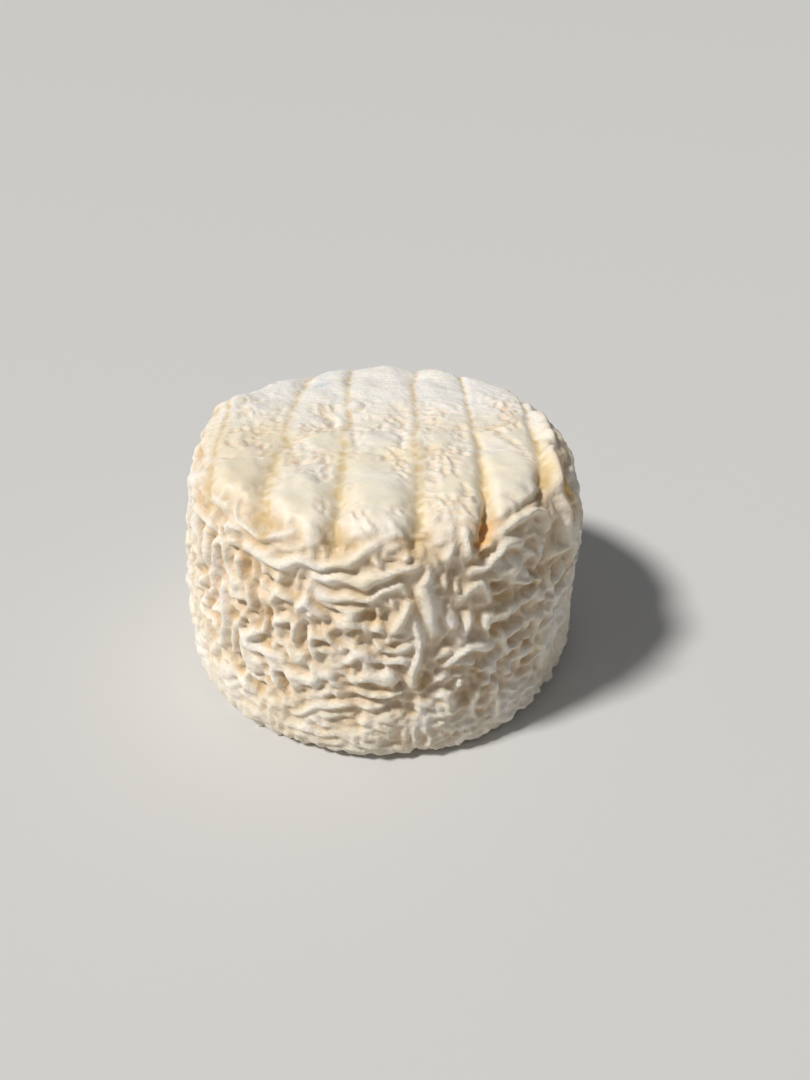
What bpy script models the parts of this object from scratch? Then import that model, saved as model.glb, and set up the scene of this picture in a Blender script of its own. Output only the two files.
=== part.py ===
"""A small soft-ripened goat cheese: a drum with a wrinkled white rind, as one closed solid.

Metres, +Z up. The origin is on the table, under the middle of the drum, and -Y is the front.
The rind is relief on a plain drum. It is drawn on two flat maps, one of the skin round the side
and one of the top, and both are read at each point of the drum. A place on the side is given by
its angle, from +X towards +Y, and by how far down the skin it is from the edge of the flat top.
"""

import math

import bpy
import numpy as np

MM = 0.001

# The plain drum, up to the tops of the wrinkles
HEIGHT = 36.4 * MM
TOP_RADIUS = 28.1 * MM
TOP_DOME = 0.3 * MM
FOOT_RADIUS = 29.7 * MM
WAIST_BULGE = 0.5 * MM
SHOULDER_ROUND = 5.7 * MM
FOOT_ROUND = 3.4 * MM
FLAT_RADIUS = TOP_RADIUS - SHOULDER_ROUND

# The maps that the relief is drawn on, in mm
MAP_CELL = 0.25
GIRTH_RADIUS = 29.0
SKIN_FROM = -8.0
SKIN_TO = 46.0
TOP_HALF_SIDE = 32.0
SEED = 11

# Wrinkles, in mm: from ridge to ridge and how deep the valleys lie, in each zone of the skin,
# then the evenness, steepness and bend of their ridges
BODY_SPACING = 2.7
BODY_DEPTH = 1.1
FINE_SPACING = 1.7
FINE_DEPTH = 0.6
FOOT_SPACING = 1.7
FOOT_DEPTH = 0.7
EDGE_SPACING = 2.8
EDGE_DEPTH = 0.65
TOP_SPACING = 1.5
TOP_DEPTH = 0.6
LUMP_RISE = 0.16
GRAIN_RISE = 0.03
ROPE_BAND = 0.4
ROPE_SLOPE = (-0.5, 1.4)
ROPE_BEND = 0.2
SOFTNESS = 0.35
BACK_SHARE = 0.8
BACK_EDGE_SHARE = 0.5
CALM_SHARE = 0.5

# Random swells: their spacing in mm on the side and on the top, and their rise on the top
SIDE_SWELLS = (1, 4.5, 6, 10)
TOP_SWELLS = (3, 5, 9)
TOP_SWELL_RISES = (0.05, 0.08, 0.14)

# Where the front starts, as a share of the radius towards -Y, and where the other zones of the
# skin meet, in mm down it: the start and the end of each change
FRONT_STARTS = (0.25, 0.7)
EDGE_ZONE_ENDS = (3, 8)
FOOT_ZONE_STARTS = (28, 33)
SIDE_STARTS = (0, 5)
TOP_ENDS = (1, 6)
MARKS_END = (5, 10)
MARKS_DEEPEN = (-14, 4)
UNDERSIDE_STARTS = (41, 42)

# Marks of the wires that the cheese dried on, in mm: x at the back edge and at the front edge,
# depth on the top, depth at the front edge and half width
WIRE_MARKS = (
    (-22.2, -23.2, 0.12, 0.5, 0.6),
    (-12.4, -14.6, 0.22, 1.0, 1.0),
    (-5.4, -4.9, 0.15, 1.2, 0.85),
    (4.8, 5.0, 0.15, 1.2, 0.8),
    (12.2, 13.8, 0.22, 1.9, 0.5),
    (21.6, 21.7, 0.60, 1.2, 0.6),
)
LAND_CROWN = 0.08
LOBE_CROWN = 0.45
# Mm from a mark over which the wrinkles begin, mm towards the front over which the marks
# deepen and widen, and how much they widen
MARK_BORDER = (0.5, 1.8)
MARK_FRONT = (-6, 16)
MARK_WIDENING = 0.8
UNDER_MARK_STEP = 8.8
UNDER_MARK_DEPTH = 0.5
UNDER_MARK_HALF_WIDTH = 0.9
UNDER_MARK_ENDS = (22, 26)

# Folds that stand out: ((degrees, mm down the skin), ...), half width and crest in mm
NAMED_FOLDS = (
    # The long upright fold at the front and the shorter ones beside it
    (((-79, 9.5), (-77, 12.7), (-76, 17.7)), 0.85, 0.2),
    (((-81, 14.9), (-79, 18.5), (-80, 22.0), (-80, 25.0)), 0.7, 0.0),
    (((-82, 13.1), (-85, 16.7)), 0.7, 0.1),
    (((-65, 15.7), (-67, 18.7)), 0.7, 0.1),
    (((-68, 13.6), (-63, 12.4), (-60, 15.2)), 0.65, 0.0),
    (((-72, 23.2), (-66, 21.5), (-59, 22.3)), 0.65, 0.2),
    # Folds that hang level under the front edge
    (((-126, 7.9), (-115, 9.3), (-106, 8.6), (-97, 7.4), (-90, 5.2)), 0.8, 0.1),
    (((-106, 10.4), (-93, 9.4), (-81, 9.5)), 0.75, 0.1),
    (((-105, 12.6), (-93, 11.7), (-83, 12.0)), 0.6, -0.1),
    # Small arches to the left of them
    (((-119, 15.6), (-116, 13.4), (-112, 14.7)), 0.65, 0.1),
    (((-111, 15.6), (-108, 13.7), (-104, 15.2)), 0.65, 0.1),
    # The curl of skin on the edge at the right, and the fold below it
    (((-56, 9.0), (-55, 6.8), (-50, 5.4), (-43, 5.6), (-39, 6.8), (-38, 9.4)), 0.75, 0.5),
    (((-66, 11.0), (-61, 10.4), (-55, 8.4), (-49, 8.6)), 0.75, 0.2),
    (((-66, 4.4), (-67, 9.0)), 0.65, 0.1),
    # The left edge's fold and the long fold down the left side
    (((-134, 3.6), (-130, 5.3), (-120, 6.2), (-113, 4.6)), 0.7, -0.1),
    (((-136, 16.5), (-136, 21.9), (-138, 26.5), (-149, 32.0)), 0.8, 0.1),
    # The crest beside the last wire mark, which hooks under at its front end
    (((16, 2.2), (-4, 1.6), (-16, 1.9), (-28, 4.9), (-28, 10.1), (-28, 13.8), (-35, 13.0)), 1.15, 0.7),
    # The pale fold above the foot
    (((-113, 32.0), (-104, 30.4), (-97, 28.4)), 0.75, -0.1),
)
FOLD_DEPTH = 1.05
FOLD_WOBBLE = 0.45

# Calm skin between the wrinkles: degrees, mm down the skin, half length across and down in mm
CALM_PATCHES = (
    (-49, 1.5, 4.5, 3.5),
    (-112, 1.0, 4.0, 3.0),
    (-140, 36.0, 9.0, 3.5),
    (-10, 8.0, 5.0, 4.5),
    (-22, 28.0, 10.0, 7.0),
    (60, 26.0, 8.0, 5.0),
    (150, 24.0, 4.5, 5.0),
)

# Swellings and hollows of the whole skin: degrees, mm down the skin, reach and rise in mm
SWELLINGS = (
    (160, 3.0, 5.5, 1.3),
    (-16, 14.0, 6.0, 1.1),
    (-12, 7.5, 3.4, -1.8),
    (-172, 8.0, 7.0, -0.6),
    (-168, 36.0, 6.0, 0.5),
    (-32, 31.0, 8.0, -0.9),
    (-178, 27.0, 6.0, 0.8),
    (-95, 20.0, 9.0, 0.3),
    (75, 18.0, 9.0, -0.4),
    (110, 30.0, 8.0, 0.4),
)

# The ragged edge of skin at the front left of the foot: from and to in degrees, then in mm
RAGGED_FROM = -146
RAGGED_TO = -112
RAGGED_DOWN = 39.6
RAGGED_RISE = 1.3
RAGGED_HALF_WIDTH = 0.55
RAGGED_SPACING = 2.6

# On the top, in mm: x, y, half length in x and in y, then a pit's depth
SMOOTH_PATCHES = (
    (17.2, -13.0, 3.4, 7.5),
    (0.2, -18.0, 3.8, 4.6),
    (-10.1, -18.0, 3.0, 4.6),
    (-18.4, -12.5, 3.6, 5.0),
    (-8.2, -4.2, 2.2, 2.8),
    (0.0, -3.6, 2.7, 2.6),
    (0.0, 24.0, 30.0, 17.0),
)
TOP_PITS = (
    (-10.1, -9.9, 1.1, 0.6, 0.8),
    (-19.7, -17.0, 1.5, 1.1, 0.9),
    (-6.7, 2.0, 0.5, 1.3, 0.6),
    (0.2, -7.6, 2.6, 0.35, 0.45),
    (3.0, -5.2, 0.4, 1.0, 0.4),
    (18.0, -17.8, 2.4, 0.4, 0.5),
)

# The plain outline's steps, and how many of them each of its directions is blended over
PROFILE_STEPS = 2000
PROFILE_BLEND = 41

# The mesh: equal sectors that each ring of the top and of the underside is one vertex wider
# in, vertices round the girth, rows down the side, the triangles kept, and how near the table
# a vertex of the foot is laid flat on it
SECTORS = 8
RING_VERTICES = 400
SIDE_ROWS = 90
TRIANGLES = 11600
FOOT_EVENNESS = 0.1 * MM

RIND_COLOR = (0.86, 0.78, 0.64, 1.0)
RIND_ROUGHNESS = 0.6


def smooth_step(value, low, high):
    """0 up to low, 1 from high, and an even curve between."""
    t = np.clip((value - low) / (high - low), 0, 1)
    return t * t * (3 - 2 * t)


def wave_numbers(shape):
    """Waves per mm down and across a map, for its Fourier transform."""
    return np.fft.fftfreq(shape[0], MAP_CELL)[:, None], np.fft.fftfreq(shape[1], MAP_CELL)[None, :]


def filtered(grid, strength):
    return np.fft.ifft2(np.fft.fft2(grid) * strength).real


def smooth_noise(shape, spacing, rng):
    """Random swells about spacing mm apart on a map, with a mean of 0 and a spread of 1."""
    down, across = wave_numbers(shape)
    field = filtered(rng.standard_normal(shape), np.exp(-(down**2 + across**2) * 0.6 * spacing**2))
    return (field - field.mean()) / field.std()


def soften(grid, reach):
    """A map blurred over reach mm."""
    down, across = wave_numbers(grid.shape)
    return filtered(grid, np.exp(-2 * (math.pi * reach) ** 2 * (down**2 + across**2)))


def read_map(grid, row, column):
    """A map's values between its cells. Columns meet end to end."""
    rows, columns = grid.shape
    row = np.clip(row, 0, rows - 1.001)
    top, left = np.floor(row).astype(int), np.floor(column).astype(int)
    row_share, column_share = row - top, column - left
    left, right = left % columns, (left + 1) % columns
    upper = grid[top, left] * (1 - column_share) + grid[top, right] * column_share
    lower = grid[top + 1, left] * (1 - column_share) + grid[top + 1, right] * column_share
    return upper * (1 - row_share) + lower * row_share


def ropes(shape, spacing, heading, rng):
    """Round ridges about spacing mm apart, from 0 between them to 1 on top, square to a heading."""
    down, across = wave_numbers(shape)
    ring = np.exp(-(((np.hypot(down, across) * spacing - 1) / ROPE_BAND) ** 2))
    turned = np.cos(np.arctan2(down, across) - heading) ** 4
    field = filtered(rng.standard_normal(shape), ring * turned)
    return smooth_step(field / field.std(), *ROPE_SLOPE)


def wrinkles(shape, spacing, upright, rng):
    """A net of level and upright ridges in mm, bent and broken here and there.

    upright is how far the upright ridges win over the level ones, from -1 to 1.
    """
    level = ropes(shape, spacing, math.pi / 2, rng)
    standing = ropes(shape, spacing, 0, rng)
    region, bend_down, bend_across = (smooth_noise(shape, 3 * spacing, rng) for _ in range(3))
    region = upright + region
    net = np.maximum(level * smooth_step(-region, -1.8, 0.2), standing * smooth_step(region, -1.8, 0.2))
    row, column = np.indices(shape)
    bend = ROPE_BEND * spacing / MAP_CELL
    return read_map(net, row + bend * bend_down, column + bend * bend_across)


def distance_to_path(places, path):
    """Distance from each place in space to a path, and how far along it that is, 0 to 1."""
    nearest, along = np.full(len(places), np.inf), np.zeros(len(places))
    for i, (start, end) in enumerate(zip(path, path[1:])):
        step = end - start
        t = np.clip((places - start) @ step / (step @ step), 0, 1)
        away = np.linalg.norm(places - start - t[:, None] * step, axis=1)
        along = np.where(away < nearest, (i + t) / (len(path) - 1), along)
        nearest = np.minimum(nearest, away)
    return nearest, along


def girth_place(degrees):
    """Mm round the girth from the front of +X."""
    return math.radians(degrees) * GIRTH_RADIUS


def inside_patches(x, y, patches):
    """1 in the middle of any patch, 0 outside them all."""
    found = np.zeros(x.shape)
    for px, py, half_x, half_y in patches:
        away = np.hypot((x - px) / half_x, (y - py) / half_y)
        found = np.maximum(found, 1 - smooth_step(away, 0.7, 1.25))
    return found


def side_map():
    """Heights of the skin from the top's edge down to the foot, all round, with ridges near 0."""
    rng = np.random.default_rng(SEED)
    rows = round((SKIN_TO - SKIN_FROM) / MAP_CELL)
    columns = round(math.tau * GIRTH_RADIUS / MAP_CELL)
    shape = (rows, columns)
    down = SKIN_FROM + np.arange(rows)[:, None] * MAP_CELL + np.zeros(shape)
    girth = (np.arange(columns)[None, :] / columns - 0.5) * math.tau * GIRTH_RADIUS + np.zeros(shape)
    small, lumps, middle, large = (smooth_noise(shape, mm, rng) for mm in SIDE_SWELLS)
    body = wrinkles(shape, BODY_SPACING, 0, rng)
    fine = wrinkles(shape, FINE_SPACING, 0, rng)
    foot = wrinkles(shape, FOOT_SPACING, -0.5, rng)
    edge = wrinkles(shape, EDGE_SPACING, 0.3, rng)

    at_foot = smooth_step(down + large, *FOOT_ZONE_STARTS)
    at_edge = 1 - smooth_step(down + large, *EDGE_ZONE_ENDS)
    in_front = smooth_step(-np.sin(girth / GIRTH_RADIUS), *FRONT_STARTS)
    lively = BACK_SHARE + (1 - BACK_SHARE) * in_front
    heights = BODY_DEPTH * (body - 1) + FINE_DEPTH * (fine - 1) * (1 - 0.7 * body)
    heights *= lively * np.clip(1 + 0.2 * middle, 0.5, 1.4)
    heights += (FOOT_DEPTH * (foot - 1) - heights) * at_foot
    edge_depth = EDGE_DEPTH * (BACK_EDGE_SHARE + (1 - BACK_EDGE_SHARE) * in_front)
    heights += (edge_depth * (edge - 1) - heights) * at_edge
    calm = [(girth_place(degrees), *place) for degrees, *place in CALM_PATCHES]
    heights *= 1 - (1 - CALM_SHARE) * inside_patches(girth, down, calm)
    heights += LUMP_RISE * lively * lumps + GRAIN_RISE * small

    start, end = girth_place(RAGGED_FROM), girth_place(RAGGED_TO)
    ends = smooth_step(girth, start, start + 4) * (1 - smooth_step(girth, end - 4, end))
    flakes, nicks = smooth_noise(shape, RAGGED_SPACING, rng), smooth_noise(shape, RAGGED_SPACING / 3, rng)
    ragged = np.clip(0.6 * flakes + 0.2 * nicks + 0.35, 0, 1.3)
    lip = np.exp(-(((down - RAGGED_DOWN) / RAGGED_HALF_WIDTH) ** 2))
    heights += RAGGED_RISE * ends * ragged * lip
    return soften(heights, SOFTNESS), middle


def top_map():
    """Heights of the top's skin, with fine wrinkles between its smooth patches, and its bends."""
    rng = np.random.default_rng(SEED + 1)
    cells = round(2 * TOP_HALF_SIDE / MAP_CELL)
    places = np.arange(cells) * MAP_CELL - TOP_HALF_SIDE
    x, y = np.meshgrid(places, places)
    small, middle, large = (smooth_noise(x.shape, mm, rng) for mm in TOP_SWELLS)
    rough = smooth_step(middle, -1.2, 0.6) * (1 - inside_patches(x, y, SMOOTH_PATCHES))
    for mark in WIRE_MARKS:
        rough *= smooth_step(np.abs(x - wire_line(mark, y)), *MARK_BORDER)
    fine = wrinkles(x.shape, TOP_SPACING, 0, rng)
    heights = TOP_DEPTH * rough * (fine - 1)
    for rise, swell in zip(TOP_SWELL_RISES, (small * (0.4 + rough), middle, large)):
        heights += rise * swell
    for px, py, half_x, half_y, depth in TOP_PITS:
        away = np.hypot((x - px) / half_x, (y - py) / half_y)
        heights -= depth * np.exp(-(away**2.5))
    return soften(heights, SOFTNESS), 0.22 * large


def wire_line(mark, y):
    """Where a wire's mark runs, as x at each y."""
    share = np.clip(0.5 - y / (2 * FLAT_RADIUS / MM), 0, 1)
    return mark[0] + (mark[1] - mark[0]) * share


def wire_marks(x, y, down):
    """Grooves on the top from the drying wires, deeper where they cut the edge, and swells between."""
    fade = 1 - smooth_step(down, *MARKS_END)
    edge = smooth_step(down, *MARKS_DEEPEN) * fade
    front = smooth_step(-y, *MARK_FRONT)
    heights = np.zeros(x.shape)
    lines = []
    for mark in WIRE_MARKS:
        _, _, top_depth, edge_depth, half_width = mark
        line = wire_line(mark, y)
        depth = top_depth + (edge_depth - top_depth) * front * edge
        width = half_width * (1 + MARK_WIDENING * front)
        heights -= depth * fade * np.exp(-(np.abs((x - line) / width) ** 1.8))
        lines.append(line)
    crown = LAND_CROWN + (LOBE_CROWN - LAND_CROWN) * edge
    for left, right in zip(lines, lines[1:]):
        t = np.clip((x - left) / (right - left), 0, 1)
        heights += crown * fade * 4 * t * (1 - t)
    return heights - crown * fade


def under_marks(x, radius):
    """Grooves that the wires left in the underside."""
    off_line = ((x / UNDER_MARK_STEP) % 1 - 0.5) * UNDER_MARK_STEP
    groove = np.exp(-((off_line / UNDER_MARK_HALF_WIDTH) ** 2))
    return -UNDER_MARK_DEPTH * groove * (1 - smooth_step(radius, *UNDER_MARK_ENDS))


def swellings(angle, down):
    """The drum's own unevenness."""
    heights = np.zeros(angle.shape)
    for degrees, middle, reach, rise in SWELLINGS:
        turn = (angle - math.radians(degrees) + math.pi) % math.tau - math.pi
        heights += rise * np.exp(-((turn * GIRTH_RADIUS) ** 2 + (down - middle) ** 2) / reach**2)
    return heights


def add_folds(heights, places, wobble):
    """Lays the named folds on the relief at places on the drum, with a valley beside each."""
    places = places + FOLD_WOBBLE * wobble[:, None] * np.array([0.6, 0.0, 1.0])
    for points, half_width, crest in NAMED_FOLDS:
        path = [drum_place(degrees, down) for degrees, down in points]
        away, along = distance_to_path(places, path)
        near = np.exp(-((away / (2 * half_width)) ** 3))
        lively = 1 - 0.35 * np.abs(2 * along - 1) ** 3
        fold = (crest + FOLD_DEPTH) * lively * np.exp(-((away / half_width) ** 2)) - FOLD_DEPTH
        heights = heights + near * (fold - heights)
    return heights


def relief(angle, down, x, y, z):
    """How far the skin stands out from the plain drum at places on it. All in mm."""
    side, wobble = side_map()
    row, column = (down - SKIN_FROM) / MAP_CELL, (angle / math.tau + 0.5) * side.shape[1]
    top, bends = top_map()
    top_place = (y + TOP_HALF_SIDE) / MAP_CELL, (x + TOP_HALF_SIDE) / MAP_CELL
    on_side, on_top = smooth_step(down, *SIDE_STARTS), 1 - smooth_step(down, *TOP_ENDS)
    heights = read_map(side, row, column) * on_side + read_map(top, *top_place) * on_top
    heights += wire_marks(x + read_map(bends, *top_place), y, down)
    heights = add_folds(heights, np.stack([x, y, z], 1), read_map(wobble, row, column))
    heights += swellings(angle, down)
    under = smooth_step(down, *UNDERSIDE_STARTS)
    return heights * (1 - under) + under_marks(x, np.hypot(x, y)) * under


def drum_profile():
    """The plain drum's outline: distance along it from the top's middle, radius, height and normal."""
    share = np.linspace(0, 1, 200)
    turn = share[1:] * math.pi / 2
    rim_z = HEIGHT - TOP_DOME
    side_radius = TOP_RADIUS + (FOOT_RADIUS - TOP_RADIUS) * share + WAIST_BULGE * 4 * share * (1 - share)
    side_z = rim_z - SHOULDER_ROUND + (FOOT_ROUND - rim_z + SHOULDER_ROUND) * share
    radius = np.concatenate([
        share * FLAT_RADIUS,
        FLAT_RADIUS + SHOULDER_ROUND * np.sin(turn),
        side_radius[1:],
        FOOT_RADIUS - FOOT_ROUND * (1 - np.cos(turn)),
        (FOOT_RADIUS - FOOT_ROUND) * (1 - share[1:]),
    ])
    z = np.concatenate([
        HEIGHT - TOP_DOME * share**2,
        rim_z - SHOULDER_ROUND * (1 - np.cos(turn)),
        side_z[1:],
        FOOT_ROUND * (1 - np.sin(turn)),
        np.zeros(len(turn)),
    ])
    length = np.concatenate([[0], np.cumsum(np.hypot(np.diff(radius), np.diff(z)))])
    even = np.linspace(0, length[-1], PROFILE_STEPS)
    radius, z = np.interp(even, length, radius), np.interp(even, length, z)
    slope = np.gradient(radius), np.gradient(z)
    window = np.hanning(PROFILE_BLEND)
    out_r, out_z = (
        np.convolve(np.pad(v, PROFILE_BLEND // 2, "edge"), window, "valid") for v in (-slope[1], slope[0])
    )
    size = np.hypot(out_r, out_z)
    return even, radius, z, out_r / size, out_z / size


def drum_place(degrees, down):
    """The point of the plain drum at an angle and a distance down the skin, in mm."""
    along, radii, heights, _, _ = drum_profile()
    radius, z = (np.interp(FLAT_RADIUS + down * MM, along, v) / MM for v in (radii, heights))
    angle = math.radians(degrees)
    return np.array([radius * math.cos(angle), radius * math.sin(angle), z])


def ring_layout(ring_vertices, side_rows, length):
    """Rings from the top's middle over the side to the underside's middle: (vertices, place along)."""
    steps = ring_vertices // SECTORS
    top_edge = FLAT_RADIUS
    under_edge = length - (FOOT_RADIUS - FOOT_ROUND)
    rings = [(SECTORS * i or 1, top_edge * i / steps) for i in range(steps + 1)]
    rings += [
        (ring_vertices, top_edge + (under_edge - top_edge) * i / side_rows)
        for i in range(1, side_rows)
    ]
    rings += [
        (SECTORS * i or 1, under_edge + (length - under_edge) * (1 - i / steps))
        for i in range(steps, -1, -1)
    ]
    return rings


def ring_faces(rings):
    """Triangles between each ring and the next, facing out."""
    faces = []
    start = 0
    for (above, _), (below, _) in zip(rings, rings[1:]):
        a, b = start, start + above
        if above == below:
            for j in range(above):
                k = (j + 1) % above
                faces += [(a + j, b + j, b + k), (a + j, b + k, a + k)]
        else:
            small, large = sorted(0 if n == 1 else n // SECTORS for n in (above, below))
            for sector in range(SECTORS):
                for j in range(large):
                    wide = [(sector * large + j + i) % (SECTORS * large) for i in (0, 1)]
                    thin = [(sector * small + j + i) % max(SECTORS * small, 1) for i in (0, 1)]
                    if above < below:
                        faces.append((a + thin[0], b + wide[0], b + wide[1]))
                    else:
                        faces.append((a + wide[0], b + thin[0], a + wide[1]))
                    if j < small:
                        if above < below:
                            faces.append((a + thin[0], b + wide[1], a + thin[1]))
                        else:
                            faces.append((b + thin[0], b + thin[1], a + wide[1]))
        start = b
    return faces


def rind_surface(ring_vertices, side_rows):
    """Points and triangles of the whole cheese's surface."""
    along, radius, z, out_r, out_z = drum_profile()
    rings = ring_layout(ring_vertices, side_rows, along[-1])
    place = np.concatenate([np.full(n, s) for n, s in rings])
    angle = np.concatenate([np.arange(n) * math.tau / n for n, _ in rings])
    angle = (angle + math.pi) % math.tau - math.pi
    r, height, nr, nz = (np.interp(place, along, v) for v in (radius, z, out_r, out_z))
    x, y = r * np.cos(angle), r * np.sin(angle)
    out = relief(angle, (place - FLAT_RADIUS) / MM, x / MM, y / MM, height / MM) * MM
    r = r + out * nr
    points = np.stack([r * np.cos(angle), r * np.sin(angle), np.maximum(height + out * nz, 0)], 1)
    points[:, :2] -= (points[:, :2].min(0) + points[:, :2].max(0)) / 2
    return points, ring_faces(rings)


def rind_material():
    """Dry white rind over cream."""
    material = bpy.data.materials.new("rind")
    material.use_nodes = True
    shader = material.node_tree.nodes["Principled BSDF"]
    shader.inputs["Base Color"].default_value = RIND_COLOR
    shader.inputs["Roughness"].default_value = RIND_ROUGHNESS
    shader.inputs["Metallic"].default_value = 0
    material.diffuse_color = RIND_COLOR
    return material


def make_cheese():
    """The cheese, its fine surface thinned to the triangles that show the relief best, foot laid flat."""
    points, faces = rind_surface(RING_VERTICES, SIDE_ROWS)
    mesh = bpy.data.meshes.new("goat_cheese")
    mesh.from_pydata(points.tolist(), [], faces)
    mesh.materials.append(rind_material())
    cheese = bpy.data.objects.new("goat_cheese", mesh)
    bpy.context.scene.collection.objects.link(cheese)
    thin = cheese.modifiers.new("thin", "DECIMATE")
    thin.ratio = TRIANGLES / len(faces)
    graph = bpy.context.evaluated_depsgraph_get()
    cheese.data = bpy.data.meshes.new_from_object(cheese.evaluated_get(graph))
    cheese.modifiers.clear()
    for vertex in cheese.data.vertices:
        if vertex.co.z < FOOT_EVENNESS:
            vertex.co.z = 0
    cheese.data.shade_smooth()


def clear_scene():
    for obj in list(bpy.data.objects):
        bpy.data.objects.remove(obj)


clear_scene()
make_cheese()
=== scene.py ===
"""The goat cheese as it looks: its wrinkled rind in fine relief and colour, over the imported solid.

Metres, +Z up, in the frame of the solids. The rind is relief on a plain drum, drawn on two flat
maps, one of the skin round the side and one of the top. A place on the side is given by its angle,
from +X towards +Y, and by how far down the skin it is from the edge of the flat top.
"""

import math

import bpy
import numpy as np
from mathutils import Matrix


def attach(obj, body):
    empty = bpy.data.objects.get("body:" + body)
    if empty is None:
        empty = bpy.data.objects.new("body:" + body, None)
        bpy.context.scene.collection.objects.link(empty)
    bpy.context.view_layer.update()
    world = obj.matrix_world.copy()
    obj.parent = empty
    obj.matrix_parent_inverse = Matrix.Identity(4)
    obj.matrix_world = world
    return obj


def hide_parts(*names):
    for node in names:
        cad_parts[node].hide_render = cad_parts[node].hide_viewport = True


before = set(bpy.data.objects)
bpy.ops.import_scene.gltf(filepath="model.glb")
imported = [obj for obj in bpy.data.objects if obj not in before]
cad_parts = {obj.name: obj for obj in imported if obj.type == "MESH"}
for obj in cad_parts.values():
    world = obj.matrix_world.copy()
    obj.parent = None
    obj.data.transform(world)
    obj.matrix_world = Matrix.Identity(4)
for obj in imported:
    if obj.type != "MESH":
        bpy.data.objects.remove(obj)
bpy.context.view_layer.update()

MM = 0.001

# The plain drum, up to the tops of the wrinkles
HEIGHT = 36.4 * MM
TOP_RADIUS = 28.1 * MM
TOP_DOME = 0.3 * MM
FOOT_RADIUS = 29.7 * MM
WAIST_BULGE = 0.5 * MM
SHOULDER_ROUND = 5.7 * MM
FOOT_ROUND = 3.4 * MM
FLAT_RADIUS = TOP_RADIUS - SHOULDER_ROUND

# The maps that the relief is drawn on, in mm
MAP_CELL = 0.25
GIRTH_RADIUS = 29.0
SKIN_FROM = -8.0
SKIN_TO = 46.0
TOP_HALF_SIDE = 32.0
SEED = 11

# The random patterns: how far the swells are blurred, how closely ridges keep to their heading,
# how many spacings apart the regions of level and of upright ridges lie, and where one region
# passes into the other
SWELL_BLUR = 0.6
ROPE_STRAIGHTNESS = 4
REGION_SPACINGS = 3
REGION_CHANGE = (-1.8, 0.2)

# Where a patch passes into what is round it, as a share of its half length
PATCH_BORDER = (0.7, 1.25)

# Wrinkles, in mm: from ridge to ridge and how deep the valleys lie, in each zone of the skin,
# then the evenness, steepness and bend of their ridges
BODY_SPACING = 2.7
BODY_DEPTH = 1.1
FINE_SPACING = 1.7
FINE_DEPTH = 0.6
FOOT_SPACING = 1.7
FOOT_DEPTH = 0.7
EDGE_SPACING = 2.8
EDGE_DEPTH = 0.65
TOP_SPACING = 1.5
TOP_DEPTH = 0.6
LUMP_RISE = 0.16
GRAIN_RISE = 0.03
ROPE_BAND = 0.4
ROPE_SLOPE = (-0.5, 1.4)
ROPE_BEND = 0.2
SOFTNESS = 0.12

# Shares of the wrinkles' depth: at the back, at the back's edge and on calm skin
BACK_SHARE = 0.8
BACK_EDGE_SHARE = 0.5
CALM_SHARE = 0.5

# How much the main ridges hide the fine ones, how uneven the depth is and its limits, and how far
# upright ridges win over level ones at the foot and at the edge
FINE_HIDDEN = 0.7
DEPTH_UNEVENNESS = 0.2
DEPTH_LIMITS = (0.5, 1.4)
FOOT_UPRIGHT = -0.5
EDGE_UPRIGHT = 0.3

# Depths of the valleys that take the warm colours, darker deeper down as painted shade, and heights
# of the ridges that stay white, in mm, and how much of the valleys' colours the top's wrinkles take
VALLEY_DEPTHS = (0.2, 1.2)
RIDGE_HEIGHTS = (0.0, 0.7)
TOP_VALLEY_SHARE = 0.55

# Random swells: their spacing in mm on the side and on the top, and their rise on the top
SIDE_SWELLS = (1, 4.5, 6, 10)
TOP_SWELLS = (3, 5, 9)
TOP_SWELL_RISES = (0.05, 0.08, 0.14)
# Where the top's wrinkles start on the middle swells, and how much of the small swells smooth
# skin keeps
TOP_WRINKLES_START = (-1.2, 0.6)
SMOOTH_SKIN_SHARE = 0.4

# Where the front starts, as a share of the radius towards -Y, and where the other zones of the
# skin meet, in mm down it: the start and the end of each change
FRONT_STARTS = (0.25, 0.7)
EDGE_ZONE_ENDS = (3, 8)
FOOT_ZONE_STARTS = (28, 33)
SIDE_STARTS = (0, 5)
TOP_ENDS = (1, 6)
MARKS_END = (5, 10)
MARKS_DEEPEN = (-14, 4)
UNDERSIDE_STARTS = (41, 42)

# Marks of the wires that the cheese dried on, in mm: x at the back edge and at the front edge,
# depth on the top, depth at the front edge and half width
WIRE_MARKS = (
    (-22.2, -23.2, 0.12, 0.5, 0.6),
    (-12.4, -14.6, 0.22, 1.0, 1.0),
    (-5.4, -4.9, 0.15, 1.2, 0.85),
    (4.8, 5.0, 0.15, 1.2, 0.8),
    (12.2, 13.8, 0.22, 1.9, 0.5),
    (21.6, 21.7, 0.60, 1.2, 0.6),
)
LAND_CROWN = 0.08
LOBE_CROWN = 0.45
# Mm from a mark over which the wrinkles begin, mm towards the front over which the marks
# deepen and widen, and how much they widen
MARK_BORDER = (0.5, 1.8)
MARK_FRONT = (-6, 16)
MARK_WIDENING = 0.8
# How steep the marks' sides are, how far they stray from a straight line in mm, how wide their
# coloured line is as a share of the mark, and how strong it is at the back
MARK_STEEPNESS = 1.8
MARK_BEND = 0.22
GROOVE_LINE = 0.7
GROOVE_AT_BACK = 0.7
UNDER_MARK_STEP = 8.8
UNDER_MARK_DEPTH = 0.5
UNDER_MARK_HALF_WIDTH = 0.9
UNDER_MARK_ENDS = (22, 26)

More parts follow.
